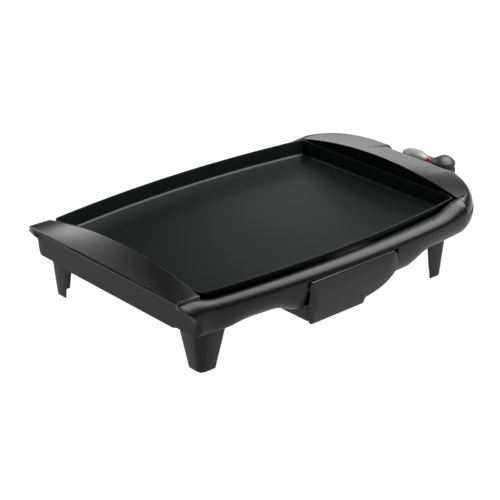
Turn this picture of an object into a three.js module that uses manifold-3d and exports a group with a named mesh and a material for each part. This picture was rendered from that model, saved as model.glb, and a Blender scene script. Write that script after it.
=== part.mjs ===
// Electric table griddle: a bowed cast plate between two raised end covers, on four legs,
// with a drip tray in the front and a plug-in thermostat control at the right end.
// Millimetres, +Z up, long sides along X. The tray opens towards -Y, the control leaves along +X.
import * as THREE from 'three';
import { mergeVertices } from 'three/addons/utils/BufferGeometryUtils.js';
import Module from 'manifold-3d';

const wasm = await Module();
wasm.setup();

// ---- driving dimensions ----
const GAP = 0.3;                       // air left between pieces that touch

const RIM_TOP = 106;                   // top of the plate's rim above the table
const PLATE = { halfLength: 220, halfWidth: 147, bow: 16, wall: 3, floor: 4, depth: 24, draft: 7 };
const DRAIN = { x: -26, y: -138, r: 7, spout: 3, length: 19 };

const BODY_TOP = 96;                   // flat top of the housing ring
const BODY_WIDE = 85;                  // height where the housing is widest
const BODY_BOTTOM = 57;                // lower edge of the housing
const BODY = { leftEnd: -258, leftFoot: -231, halfWidthLeft: 163, halfWidthRight: 170,
  halfWidthMid: 179, shoulder: 16, wall: 3 };
const CORNER_X = 215;                  // where the long sides turn into the right end
const RIGHT_END = 309;                 // right end of the housing behind the control's recess
const RIGHT_NEAR = 303;                // right end in front of it
const BELLY = { halfLength: 105, drop: 14 };

const COVER_INNER = 222.5;             // inner face of each end cover
const CREST = { end: 105, arch: 17.5, halfSpan: 150 };
const COVER_WALL = 2.5;
const COVER_EDGE = 106;                // height of the covers' outer edges

const RECESS = { x: 297, yMin: -78, yMax: 42 };
const CONTROL = { x: 299, depth: 33, yMin: -60, yMax: 36, bottom: 66, split: 82, top: 96 };
const KNOB = { x: 314.5, y: -40.5, r: 17, height: 11 };
const WINDOW = { x: 313, y: 11, length: 46, width: 24, height: 12 };
const LENS = { x: 310, y: -16.5 };
const SOCKET = { x: 270, y: -16, z: 76.6, pitch: 13 };

const LEG = { x: 229, y: 155, rightX: 206, lean: 6, arm: 42, foot: 23, wall: 3.4, corner: 16, top: 56.7 };
const PAD = { height: 3, size: 15 };

const TRAY = { xMin: -70, xMax: 21, front: -174, back: 15, bottom: 30, top: 53, wall: 2 };
const FRONT = { xMin: -73, xMax: 79, top: 84, y: -176.4, thick: 3.6 };

const PAN_Z = 58;
const PAN_SHEET = 0.8;
const PAN_SCREW_R = 1.8;
const REFLECTOR = { z: 64, halfLength: 212, halfWidth: 138, bow: 13, rise: 9, sheet: 1 };
const ELEMENT = { r: 3.3, z: 76.6, halfLength: 178, halfWidth: 104, bend: 26 };
const SUPPORT = { x: 196, y: 112, r: 5 };
const BOSSES = [[-222.5, -104], [-222.5, 104], [240, -104], [240, 104]];
const BOSS_R = 3.8;

// ---- finishes ----
const blackPlastic = { color: 0x1d1e1f, roughness: 0.5, metalness: 0 };
const coverPlastic = { color: 0x242526, roughness: 0.42, metalness: 0 };
const nonStick = { color: 0x1b201f, roughness: 0.35, metalness: 0.2 };
const steel = { color: 0xb4b6b8, roughness: 0.35, metalness: 1 };
const aluminium = { color: 0xc9cacc, roughness: 0.3, metalness: 1 };
const elementSheath = { color: 0x55524e, roughness: 0.5, metalness: 0.9 };
const ceramic = { color: 0xd8d2c4, roughness: 0.7, metalness: 0 };
const rubber = { color: 0x161616, roughness: 0.85, metalness: 0 };
const brass = { color: 0xb79a55, roughness: 0.35, metalness: 1 };
const smoke = { color: 0xb9afaf, roughness: 0.2, metalness: 0 };
const redLens = { color: 0xc01622, roughness: 0.15, metalness: 0 };

const griddle = new THREE.Group();

function add(name, geometry, finish) {
  const mesh = new THREE.Mesh(geometry, new THREE.MeshStandardMaterial(finish));
  mesh.name = name;
  griddle.add(mesh);
  return mesh;
}

// ---- solids: cutting and joining closed geometries ----
function solid(geometry) {
  const bare = geometry.clone();
  bare.deleteAttribute('normal');
  bare.deleteAttribute('uv');
  const merged = mergeVertices(bare, 1e-4);
  const mesh = new wasm.Mesh({
    numProp: 3,
    vertProperties: new Float32Array(merged.attributes.position.array),
    triVerts: new Uint32Array(merged.index.array),
  });
  return new wasm.Manifold(mesh);
}

function geometryOf(shape) {
  const mesh = shape.getMesh();
  const geometry = new THREE.BufferGeometry();
  geometry.setAttribute('position', new THREE.BufferAttribute(mesh.vertProperties, 3));
  geometry.setIndex(new THREE.BufferAttribute(mesh.triVerts, 1));
  geometry.computeVertexNormals();
  return geometry;
}

function cut(body, ...tools) {
  return geometryOf(tools.reduce((left, tool) => left.subtract(solid(tool)), solid(body)));
}

function join(...bodies) {
  return geometryOf(bodies.map(solid).reduce((left, right) => left.add(right)));
}

function common(...bodies) {
  return geometryOf(bodies.map(solid).reduce((left, right) => left.intersect(right)));
}

// ---- basic shapes ----
// A box from its lowest corner to its highest one.
function block(x0, y0, z0, x1, y1, z1) {
  const box = new THREE.BoxGeometry(x1 - x0, y1 - y0, z1 - z0);
  return box.translate((x0 + x1) / 2, (y0 + y1) / 2, (z0 + z1) / 2);
}

// A round bar standing on (x, y, z0).
function post(x, y, z0, z1, r, sides = 20) {
  const bar = new THREE.CylinderGeometry(r, r, z1 - z0, sides).rotateX(Math.PI / 2);
  return bar.translate(x, y, (z0 + z1) / 2);
}

// A round bar lying along X.
function barX(x0, x1, y, z, r, sides = 16) {
  const bar = new THREE.CylinderGeometry(r, r, x1 - x0, sides).rotateZ(Math.PI / 2);
  return bar.translate((x0 + x1) / 2, y, z);
}

function slab(shape, z0, z1, curveSegments = 12, steps = 1) {
  const options = { depth: z1 - z0, bevelEnabled: false, curveSegments, steps };
  return new THREE.ExtrudeGeometry(shape, options).translate(0, 0, z0);
}

function roundedRectangle(x0, y0, x1, y1, r) {
  const shape = new THREE.Shape();
  shape.moveTo(x0 + r, y0);
  shape.lineTo(x1 - r, y0);
  shape.absarc(x1 - r, y0 + r, r, -Math.PI / 2, 0, false);
  shape.lineTo(x1, y1 - r);
  shape.absarc(x1 - r, y1 - r, r, 0, Math.PI / 2, false);
  shape.lineTo(x0 + r, y1);
  shape.absarc(x0 + r, y1 - r, r, Math.PI / 2, Math.PI, false);
  shape.lineTo(x0, y0 + r);
  shape.absarc(x0 + r, y0 + r, r, Math.PI, 1.5 * Math.PI, false);
  return shape;
}

// A rectangle whose long sides bow outwards.
function bowedRectangle(halfLength, halfWidth, bow) {
  const shape = new THREE.Shape();
  shape.moveTo(-halfLength, -halfWidth);
  shape.quadraticCurveTo(0, -halfWidth - 2 * bow, halfLength, -halfWidth);
  shape.lineTo(halfLength, halfWidth);
  shape.quadraticCurveTo(0, halfWidth + 2 * bow, -halfLength, halfWidth);
  return shape;
}

// Moves every point of a geometry by a rule; the rule changes the point it is given.
function warp(geometry, rule) {
  const position = geometry.attributes.position;
  const point = new THREE.Vector3();
  for (let i = 0; i < position.count; i += 1) {
    point.fromBufferAttribute(position, i);
    rule(point);
    position.setXYZ(i, point.x, point.y, point.z);
  }
  return geometry;
}

// ---- housing ----
// Plan of the housing where it is widest, drawn in by an inset; it runs past the left end.
function housingPlan(inset) {
  const past = BODY.leftEnd - 40;
  const left = BODY.halfWidthLeft - inset;
  const right = BODY.halfWidthRight - inset;
  const bulge = 2 * (BODY.halfWidthMid - inset) - (left + right) / 2;
  const near = RIGHT_NEAR - inset;
  const far = RIGHT_END - inset;
  const shape = new THREE.Shape();
  shape.moveTo(past, -left);
  shape.lineTo(-CORNER_X, -left);
  shape.quadraticCurveTo(0, -bulge, CORNER_X, -right);
  shape.bezierCurveTo(CORNER_X + 35, -right + 4, near - 15, -right + 42, near, -66);
  shape.lineTo(far, 72);
  shape.bezierCurveTo(far - 7, right - 30, CORNER_X + 47, right - 2, CORNER_X, right);
  shape.quadraticCurveTo(0, bulge, -CORNER_X, left);
  shape.lineTo(past, left);
  return shape;
}

// The rounded body: full at BODY_WIDE, drawn in by the shoulder at the top and at the bottom.
function roundedBody(inset, top, bottom, curveSegments = 14) {
  const options = {
    depth: 1, bevelThickness: 1, bevelSize: BODY.shoulder, bevelSegments: 5, curveSegments,
  };
  const body = new THREE.ExtrudeGeometry(housingPlan(inset + BODY.shoulder), options);
  return warp(body, (p) => {
    const up = p.z - 0.5;
    const flat = Math.sign(up) * 0.5;
    const reach = up > 0 ? top - BODY_WIDE : BODY_WIDE - bottom;
    p.z = BODY_WIDE + flat + (up - flat) * (reach - 0.5);
  });
}

// Outline of the housing seen from the front: a leaning left end, and a belly round the tray.
function sideProfile() {
  const b = BELLY.halfLength;
  const low = BODY_BOTTOM - BELLY.drop;
  const shape = new THREE.Shape();
  shape.moveTo(BODY.leftFoot, BODY_BOTTOM);
  shape.lineTo(-b - 40, BODY_BOTTOM);
  shape.bezierCurveTo(-b - 10, BODY_BOTTOM, -b, low, -b + 30, low);
  shape.lineTo(b - 20, low);
  shape.bezierCurveTo(b + 5, low, b + 15, BODY_BOTTOM, b + 50, BODY_BOTTOM);
  shape.lineTo(RIGHT_END + 10, BODY_BOTTOM);
  shape.lineTo(RIGHT_END + 10, COVER_EDGE);
  shape.lineTo(BODY.leftEnd, COVER_EDGE);
  return shape;
}

// The same view of the space inside, between the leaning end wall and the recess.
function cavityProfile() {
  const wall = BODY.wall * 1.15;
  const lean = (BODY.leftEnd - BODY.leftFoot) / (COVER_EDGE - BODY_BOTTOM);
  const shape = new THREE.Shape();
  shape.moveTo(BODY.leftFoot + wall - lean * BODY_BOTTOM, 0);
  shape.lineTo(RECESS.x - BODY.wall, 0);
  shape.lineTo(RECESS.x - BODY.wall, COVER_EDGE);
  shape.lineTo(BODY.leftEnd + wall, COVER_EDGE);
  return shape;
}

// A side profile (X, Z) drawn out along Y.
function acrossY(shape, halfWidth, curveSegments = 8) {
  return slab(shape, -halfWidth, halfWidth, curveSegments).rotateX(Math.PI / 2);
}

function recessTool() {
  const r = 14;
  const plan = roundedRectangle(RECESS.x, RECESS.yMin, RIGHT_END + 60, RECESS.yMax, r);
  return slab(plan, 0, 200, 6);
}

function housing() {
  const wall = BODY.wall;
  const outside = common(
    roundedBody(0, BODY_TOP, BODY_BOTTOM - BELLY.drop - 6),
    acrossY(sideProfile(), 260),
  );
  const inside = common(
    roundedBody(wall, BODY_TOP - wall, BODY_BOTTOM - BELLY.drop - 40),
    acrossY(cavityProfile(), 260),
  );
  const plateOpening = bowedRectangle(PLATE.halfLength + 1.2, PLATE.halfWidth + 1.5, PLATE.bow);
  const trayOpening = block(FRONT.xMin - 1, -200, 0, FRONT.xMax + 1, -140, FRONT.top + 1);
  const lipOpening = block(FRONT.xMin - 3.5, -200, 0, 0, -140, TRAY.top + 1.5);
  const socketOpening = block(RECESS.x - 20, SOCKET.y - 26, 66, RECESS.x + 20, SOCKET.y + 26, 88);
  const shell = cut(outside, inside, slab(plateOpening, 80, 120, 20), trayOpening, lipOpening, socketOpening,
    recessTool());
  const bosses = BOSSES.map(([x, y]) => post(x, y, PAN_Z + PAN_SHEET + GAP, BODY_TOP - 1, BOSS_R, 12));
  const pilots = BOSSES.map(([x, y]) => post(x, y, PAN_Z, PAN_Z + 14, PAN_SCREW_R + 0.2, 10));
  return cut(join(shell, ...bosses), ...pilots);
}

// ---- end covers ----
const crest = (y) => CREST.end + CREST.arch * (1 - (y / CREST.halfSpan) ** 2);

// Height of a cover's top surface, out being 0 at its inner face and 1 at its outer edge.
const coverTop = (out, y) => COVER_EDGE + (crest(y) - COVER_EDGE) * (1 - out);

// The left cover: from the arched crest down to the straight edge that overhangs the end wall.
function leftSlope(inset) {
  const span = CREST.halfSpan - inset;
  const section = new THREE.Shape();
  section.moveTo(0, 0);
  section.lineTo(0.83, 0);
  section.lineTo(1, 1);
  section.lineTo(0.5, 1);
  section.lineTo(0, 1);
  const low = BODY_TOP + GAP - (inset > 0 ? 5 : 0);
  const width = -BODY.leftEnd - COVER_INNER - 2 * inset;
  return warp(slab(section, -span, span, 1, 24), (p) => {
    const [out, high, y] = [p.x, p.y, p.z];
    p.set(-COVER_INNER - inset - out * width, y, low + high * (coverTop(out, y) - 1.2 * inset - low));
  });
}

function leftCover() {
  return cut(leftSlope(0), leftSlope(COVER_WALL));
}

// The right cover: from the arched crest a gentle fall to the rounded outer edge.
function rightSlope(inset) {
  const span = 168 - inset;
  const section = new THREE.Shape();
  section.moveTo(0, 0);
  section.lineTo(1, 0);
  section.lineTo(1, 0.45);
  section.lineTo(0.97, 0.8);
  section.lineTo(0.9, 0.97);
  section.lineTo(0.72, 1);
  section.lineTo(0, 1);
  const low = BODY_WIDE + 2 - (inset > 0 ? 8 : 0);
  const outer = RIGHT_END - 2 - inset;
  return warp(slab(section, -span, span, 1, 40), (p) => {
    const [out, high, y] = [p.x, p.y, -p.z];
    const beyond = Math.max(0, Math.abs(y) - CREST.halfSpan) ** 2 * 0.03;
    const top = coverTop(out, Math.min(Math.abs(y), CREST.halfSpan)) - 1.2 * inset - beyond;
    p.set(COVER_INNER + inset + out * (outer - COVER_INNER - inset), y, low + high * (top - low));
  });
}

function rightCover() {
  const body = (lift) => roundedBody(0, BODY_TOP, BODY_BOTTOM).translate(0, 0, lift);
  const plan = (inset) => slab(housingPlan(2 + inset), 0, 200, 14);
  const hollow = geometryOf(solid(rightSlope(COVER_WALL)).intersect(solid(plan(COVER_WALL))));
  const outside = common(rightSlope(0), plan(0));
  return cut(outside, body(GAP), body(0), hollow, recessTool());
}

// ---- cooking plate ----
function plateTub(inset, z0, z1) {
  const plan = bowedRectangle(PLATE.halfLength - inset, PLATE.halfWidth - inset, PLATE.bow);
  return warp(slab(plan, z0, z1, 20), (p) => {
    const depth = (RIM_TOP - p.z) / PLATE.depth;
    p.x *= 1 - depth * (PLATE.draft / PLATE.halfLength);
    p.y *= 1 - depth * (PLATE.draft / PLATE.halfWidth);
  });
}

function griddlePlate() {
  const under = RIM_TOP - PLATE.depth;
  const spout = post(DRAIN.x, DRAIN.y, under - DRAIN.length, under + 1, DRAIN.r + DRAIN.spout);
  const shell = join(plateTub(0, under, RIM_TOP), spout);
  const drain = post(DRAIN.x, DRAIN.y, under - 40, under + 20, DRAIN.r);
  return cut(shell, plateTub(PLATE.wall, under + PLATE.floor, RIM_TOP + 10), drain);
}

// ---- base pan, reflector and heating element ----
function basePan() {
  const sheet = slab(bowedRectangle(227.5, 146, 10), PAN_Z, PAN_Z + PAN_SHEET, 14);
  const tail = slab(roundedRectangle(180, -114, 274, 114, 30), PAN_Z, PAN_Z + PAN_SHEET, 6);
  const drain = post(DRAIN.x, DRAIN.y, 0, 100, DRAIN.r + DRAIN.spout + 3);
  const holes = BOSSES.map(([x, y]) => post(x, y, 0, 100, PAN_SCREW_R + 0.3, 10));
  return cut(join(sheet, tail), drain, ...holes);
}

function reflector() {
  const r = REFLECTOR;
  const tub = (inset, z0, z1) =>
    slab(bowedRectangle(r.halfLength - inset, r.halfWidth - inset, r.bow), z0, z1, 14);
  const leads = block(150, SOCKET.y - 26, r.z + 4, 240, SOCKET.y + 26, 100);
  const drain = post(DRAIN.x, DRAIN.y, 0, 100, DRAIN.r + DRAIN.spout + 3);
  return cut(tub(0, r.z, r.z + r.rise), tub(r.sheet, r.z + r.sheet, r.z + 40), leads, drain);
}

// A tube in a horizontal plane along straight runs with round bends.
function elementPath() {
  const e = ELEMENT;
  const y0 = SOCKET.y - SOCKET.pitch;
  const y1 = SOCKET.y + SOCKET.pitch;
  const r = e.bend;
  const path = new THREE.CurvePath();
  const at = (x, y) => new THREE.Vector3(x, y, e.z);
  const line = (a, b) => path.add(new THREE.LineCurve3(a, b));
  const bend = (a, c1, c2, b) => path.add(new THREE.CubicBezierCurve3(a, c1, c2, b));
  const k = 0.55;
  const corner = (x, y, dx0, dy0, dx1, dy1) => bend(
    at(x - dx0 * r, y - dy0 * r), at(x - dx0 * r * (1 - k), y - dy0 * r * (1 - k)),
    at(x + dx1 * r * (1 - k), y + dy1 * r * (1 - k)), at(x + dx1 * r, y + dy1 * r),
  );
  const [xr, xl, w] = [e.halfLength, -e.halfLength, e.halfWidth];
  line(at(SOCKET.x - 10, y0), at(xr + r, y0));
  corner(xr, y0, -1, 0, 0, -1);
  line(at(xr, y0 - r), at(xr, -w + r));
  corner(xr, -w, 0, -1, -1, 0);
  line(at(xr - r, -w), at(xl + r, -w));
  corner(xl, -w, -1, 0, 0, 1);
  line(at(xl, -w + r), at(xl, w - r));
  corner(xl, w, 0, 1, 1, 0);
  line(at(xl + r, w), at(xr - r, w));
  corner(xr, w, 1, 0, 0, -1);
  line(at(xr, w - r), at(xr, y1 + r));
  corner(xr, y1, 0, -1, 1, 0);
  line(at(xr + r, y1), at(SOCKET.x - 10, y1));
  return path;
}

function heatingElement() {
  const section = new THREE.Shape();
  section.absarc(0, 0, ELEMENT.r, 0, 2 * Math.PI, false);
  const options = { steps: 72, extrudePath: elementPath(), curveSegments: 4, bevelEnabled: false };
  return new THREE.ExtrudeGeometry(section, options);
}

// A clip that stands on the reflector and holds the tube in a saddle.
function elementClip(x, y) {
  const top = ELEMENT.z + ELEMENT.r + 0.4;
  const z0 = REFLECTOR.z + REFLECTOR.sheet + GAP;
  const body = block(x - 4, y - 6, z0, x + 4, y + 6, top - 1);
  const tunnel = new THREE.CylinderGeometry(ELEMENT.r + 0.4, ELEMENT.r + 0.4, 30, 16).rotateZ(Math.PI / 2);
  return cut(body, tunnel.translate(x, y, ELEMENT.z));
}

// A ceramic post on the reflector that the plate stands on.
function plateSupport(x, y) {
  return post(x, y, REFLECTOR.z + REFLECTOR.sheet + GAP, RIM_TOP - PLATE.depth - GAP, SUPPORT.r, 16);
}

// ---- terminals at the right end ----
function terminalBlock() {
  const s = SOCKET;
  const body = block(s.x - 12, s.y - 24, PAN_Z + PAN_SHEET + GAP, s.x - 2, s.y + 24, s.z + 11);
  const hole = (y, r) => barX(s.x - 30, s.x + 10, y, s.z, r);
  return cut(body, hole(s.y - s.pitch, 3.7), hole(s.y + s.pitch, 3.7), hole(s.y, 4));
}

function terminalPin(y) {
  return barX(SOCKET.x - 10 + GAP, SOCKET.x + 16, y, SOCKET.z, 2.4, 12);
}

// ---- legs ----
// Plan of one leg: an angle section with a rounded corner, arms along +X and +Y from the corner.
function legPlan() {
  const { arm, wall, corner } = LEG;
  const inner = corner - wall;
  const shape = new THREE.Shape();
  shape.moveTo(arm, 0);
  shape.lineTo(arm, wall);
  shape.lineTo(corner, wall);
  shape.absarc(corner, corner, inner, 1.5 * Math.PI, Math.PI, true);
  shape.lineTo(wall, arm);
  shape.lineTo(0, arm);
  shape.lineTo(0, corner);
  shape.absarc(corner, corner, corner, Math.PI, 1.5 * Math.PI, false);
  return shape;
}

function leg(cornerX, cornerY) {
  const inX = -Math.sign(cornerX);
  const inY = -Math.sign(cornerY);
  const post_ = slab(legPlan(), PAD.height, LEG.top, 5, 2);
  const tab = slab(roundedRectangle(1, 1, 30, 30, 5), LEG.top - 5, LEG.top, 3);
  const hole = post(17, 17, 0, 100, 2.6, 12);
  const tapered = warp(cut(join(post_, tab), hole), (p) => {
    const down = (LEG.top - p.z) / LEG.top;
    const size = 1 - down * (1 - LEG.foot / LEG.arm);
    p.x = cornerX + inX * (p.x * size + LEG.lean * down);
    p.y = cornerY + inY * (p.y * size + LEG.lean * down);
  });
  return inX * inY < 0 ? turnedOut(tapered) : tapered;
}

// Reverses the faces of a geometry that was mirrored.
function turnedOut(geometry) {
  const index = geometry.index.array;
  for (let i = 0; i < index.length; i += 3) {
    [index[i], index[i + 1]] = [index[i + 1], index[i]];
  }
  return geometry;
}

function footPad(cornerX, cornerY) {
  const x = cornerX - Math.sign(cornerX) * (LEG.lean + 1);
  const y = cornerY - Math.sign(cornerY) * (LEG.lean + 1);
  const [x0, x1] = [x, x - Math.sign(x) * PAD.size].sort((a, b) => a - b);
  const [y0, y1] = [y, y - Math.sign(y) * PAD.size].sort((a, b) => a - b);
  return slab(roundedRectangle(x0, y0, x1, y1, 5), 0, PAD.height - GAP, 3);
}

// A pan-head screw pointing up, with its head's underside at z.
function screwUp(x, y, z, length, r = 2, head = 4) {
  const profile = [
    [0, -2.4], [head * 0.7, -2.4], [head, -1.2], [head, 0], [r, 0], [r, length], [0, length],
  ].map(([radius, height]) => new THREE.Vector2(radius, height));
  return new THREE.LatheGeometry(profile, 12).rotateX(Math.PI / 2).translate(x, y, z);
}

// ---- drip tray ----
function dripTray() {
  const t = TRAY;
  const outer = slab(roundedRectangle(t.xMin, t.front, t.xMax, t.back, 5), t.bottom, t.top, 3);
  const lips = block(t.xMin - 5, t.front + 12, t.top - 2, t.xMax + 5, t.back - 12, t.top);
  const inner = roundedRectangle(t.xMin + t.wall, t.front + t.wall, t.xMax - t.wall, t.back - t.wall, 4);
  return cut(join(outer, lips), slab(inner, t.bottom + t.wall, t.top + 10, 3));
}

// Front panel of the tray: straight top, deep over the box, cut away in a curve on the right.
function frontPlan() {
  const f = FRONT;
  const shape = new THREE.Shape();
  shape.moveTo(f.xMin + 5, TRAY.bottom);
  shape.lineTo(TRAY.xMax - 4, TRAY.bottom);
  shape.quadraticCurveTo(TRAY.xMax + 1, TRAY.bottom, TRAY.xMax + 1.5, TRAY.bottom + 6);
  shape.quadraticCurveTo(f.xMax - 12, TRAY.bottom + 10, f.xMax, TRAY.bottom + 32);
  shape.quadraticCurveTo(f.xMax + 1, f.top - 2, f.xMax - 16, f.top);
  shape.lineTo(f.xMin + 8, f.top);
  shape.quadraticCurveTo(f.xMin, f.top, f.xMin, f.top - 7);
  shape.lineTo(f.xMin + 2, TRAY.bottom + 3);
  shape.quadraticCurveTo(f.xMin + 2, TRAY.bottom, f.xMin + 5, TRAY.bottom);
  return shape;
}

function trayFront() {
  const panel = slab(frontPlan(), 0, FRONT.thick, 6).rotateX(Math.PI / 2);
  return panel.translate(0, FRONT.y, 0);
}

// A rail under the base pan that carries one lip of the tray.
function trayRunner(side) {
  const x = side < 0 ? TRAY.xMin : TRAY.xMax;
  const from = TRAY.front + 14;
  const to = TRAY.back + 30;
  const near = (d) => x + side * d;
  const span = (a, b) => [Math.min(near(a), near(b)), Math.max(near(a), near(b))];
  const [u0, u1] = span(6, 8);
  const [l0, l1] = span(0.6, 8);
  const upright = block(u0, from, TRAY.top - 5, u1, to, PAN_Z - GAP);
  const ledge = block(l0, from, TRAY.top - 5, l1, to, TRAY.top - 2 - GAP);
  return join(upright, ledge);
}

// ---- thermostat control ----
function controlPlan(inset) {
  const c = CONTROL;
  const [x0, x1] = [c.x + inset, c.x + c.depth - inset];
  const [y0, y1] = [c.yMin + inset, c.yMax - inset];
  const shape = new THREE.Shape();
  shape.moveTo(x0 + 3, y0);
  shape.lineTo(x1 - 24, y0);
  shape.quadraticCurveTo(x1, y0, x1, y0 + 26);
  shape.lineTo(x1, y1 - 18);
  shape.quadraticCurveTo(x1, y1, x1 - 18, y1);
  shape.lineTo(x0 + 3, y1);
  shape.quadraticCurveTo(x0, y1, x0, y1 - 3);
  shape.lineTo(x0, y0 + 3);
  shape.quadraticCurveTo(x0, y0, x0 + 3, y0);
  return shape;
}

const CONTROL_SCREWS = [[CONTROL.x + 6, CONTROL.yMin + 6], [CONTROL.x + 28, CONTROL.yMax - 20]];
const NOSE = { x: CONTROL.x - 7, halfWidth: 22, bottom: 69, top: 85 };

function lowerShell() {
  const c = CONTROL;
  const nose = block(NOSE.x, SOCKET.y - NOSE.halfWidth, NOSE.bottom, c.x + 2, SOCKET.y + NOSE.halfWidth, c.split);
  const outer = join(slab(controlPlan(0), c.bottom, c.split, 5), nose);
  const inner = slab(controlPlan(2), c.bottom + 2, c.split + 10, 5);
  const throat = (y, r) => barX(NOSE.x - 10, c.x + 10, y, SOCKET.z, r, 14);
  const gland = new THREE.CylinderGeometry(4, 4, 30, 16).translate(c.x + 18, c.yMax, 74);
  const screwHoles = CONTROL_SCREWS.map(([x, y]) => post(x, y, 0, c.bottom + 5, PAN_SCREW_R + 0.3, 10));
  return cut(outer, inner, throat(SOCKET.y - SOCKET.pitch, 3.4), throat(SOCKET.y + SOCKET.pitch, 3.4),
    throat(SOCKET.y, 2.6), gland, ...screwHoles);
}

function upperShell() {
  const c = CONTROL;
  const cap = new THREE.ExtrudeGeometry(controlPlan(3), {
    depth: c.top - c.split - 3 - GAP, bevelThickness: 3, bevelSize: 3, bevelSegments: 2, curveSegments: 5,
  }).translate(0, 0, c.split + GAP);
  const whole = common(cap, block(0, -200, c.split + GAP, 500, 200, c.top));
  const inner = slab(controlPlan(2.4), c.split - 10, c.top - 2.4, 5);
  const spindleHole = post(KNOB.x, KNOB.y, c.split - 5, c.top + 10, 3.6, 14);
  const lensHole = post(LENS.x, LENS.y, c.split - 5, c.top + 10, 3.2, 14);
  const windowHole = slab(roundedRectangle(WINDOW.x - 6, WINDOW.y - 15, WINDOW.x + 6, WINDOW.y + 15, 5.9),
    c.split - 5, c.top + 10, 4);
  return cut(whole, inner, spindleHole, lensHole, windowHole);
}

// The knob: ribbed round grip with a domed top, turned on its spindle.
function controlKnob() {
  const profile = [
    [0, 0], [KNOB.r * 0.94, 0], [KNOB.r, 1.5], [KNOB.r * 0.97, KNOB.height * 0.55],
    [KNOB.r * 0.84, KNOB.height * 0.82], [KNOB.r * 0.5, KNOB.height * 0.97], [0, KNOB.height],
  ].map(([radius, height]) => new THREE.Vector2(radius, height));
  const body = new THREE.LatheGeometry(profile, 32).rotateX(Math.PI / 2);
  const bore = post(0, 0, -5, 8, 2.9, 14);
  const grip = new THREE.SphereGeometry(9, 12, 8).scale(0.55, 1, 0.5).translate(9, 0, KNOB.height - 0.5);
  return cut(body, bore, grip).translate(KNOB.x, KNOB.y, CONTROL.top + 0.8);
}

function knobSpindle() {
  return post(KNOB.x, KNOB.y, CONTROL.split + 6, CONTROL.top + 8.3, 2.5, 14);
}

function dome(x, y, z, length, width, height) {
  const ball = new THREE.SphereGeometry(0.5, 20, 12).scale(width, length, 2 * height).translate(x, y, z);
  return common(ball, block(x - 60, y - 60, z, x + 60, y + 60, z + 60));
}

function indicatorWindow() {
  const w = WINDOW;
  const top = CONTROL.top + GAP;
  return cut(dome(w.x, w.y, top, w.length, w.width, w.height),
    dome(w.x, w.y, top - 0.5, w.length - 4, w.width - 4, w.height - 2));
}

function pilotLens() {
  return join(dome(LENS.x, LENS.y, CONTROL.top + GAP, 8, 8, 6.5),
    post(LENS.x, LENS.y, CONTROL.top - 6, CONTROL.top + 1, 2.9, 14));
}

function pilotLamp() {
  const bulb = new THREE.CapsuleGeometry(2, 6, 4, 10).rotateX(Math.PI / 2);
  return bulb.translate(LENS.x, LENS.y, CONTROL.top - 6 - 6);
}

function thermostatSwitch() {
  const c = CONTROL;
  const base = block(KNOB.x - 3, KNOB.y - 9, c.bottom + 2 + GAP, KNOB.x + 7, KNOB.y + 4, c.split - 2);
  return join(base, post(KNOB.x, KNOB.y, c.split - 3, c.split + 5.6, 5, 16));
}

function temperatureProbe() {
  const start = CONTROL.x + 3;
  return barX(NOSE.x - 26, start + 4, SOCKET.y, SOCKET.z, 2.2, 12);
}

function contactSocket(y) {
  const from = NOSE.x + 1;
  const sleeve = barX(from, CONTROL.x + 12, y, SOCKET.z, 3.1, 14);
  return cut(sleeve, barX(from - 5, CONTROL.x + 4, y, SOCKET.z, 2.6, 14));
}

// ---- assembly ----
add('housing', housing(), blackPlastic);
add('left_end_cover', leftCover(), coverPlastic);
add('right_end_cover', rightCover(), coverPlastic);
add('griddle_plate', griddlePlate(), nonStick);
add('base_pan', basePan(), steel);
add('heat_reflector', reflector(), aluminium);
add('heating_element', heatingElement(), elementSheath);
for (const [name, x, y] of [
  ['element_clip_left', -110, -ELEMENT.halfWidth], ['element_clip_front', 60, -ELEMENT.halfWidth],
  ['element_clip_rear', -110, ELEMENT.halfWidth], ['element_clip_right', 60, ELEMENT.halfWidth],
]) {
  add(name, elementClip(x, y), steel);
}
for (const [name, x, y] of [
  ['front_left', -SUPPORT.x, -SUPPORT.y], ['rear_left', -SUPPORT.x, SUPPORT.y],
  ['front_right', SUPPORT.x, -SUPPORT.y], ['rear_right', SUPPORT.x, SUPPORT.y],
]) {
  add(`plate_support_${name}`, plateSupport(x, y), ceramic);
}
['front_left', 'rear_left', 'front_right', 'rear_right'].forEach((name, i) => {
  const [x, y] = BOSSES[i];
  add(`pan_screw_${name}`, screwUp(x, y, PAN_Z - GAP, 12, PAN_SCREW_R), steel);
});
add('terminal_block', terminalBlock(), ceramic);
add('terminal_pin_front', terminalPin(SOCKET.y - SOCKET.pitch), brass);
add('terminal_pin_rear', terminalPin(SOCKET.y + SOCKET.pitch), brass);

for (const [name, x, y] of [
  ['front_left', -LEG.x, -LEG.y], ['rear_left', -LEG.x, LEG.y],
  ['front_right', LEG.rightX, -LEG.y], ['rear_right', LEG.rightX, LEG.y],
]) {
  add(`leg_${name}`, leg(x, y), blackPlastic);
  add(`foot_pad_${name}`, footPad(x, y), rubber);
  const [sx, sy] = [x - Math.sign(x) * 16.8, y - Math.sign(y) * 16.8];
  add(`leg_screw_${name}`, screwUp(sx, sy, LEG.top - 5 - GAP, 4.8), steel);
}

add('drip_tray', dripTray(), blackPlastic);
add('drip_tray_front', trayFront(), coverPlastic);
add('tray_runner_left', trayRunner(-1), steel);
add('tray_runner_right', trayRunner(1), steel);

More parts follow.
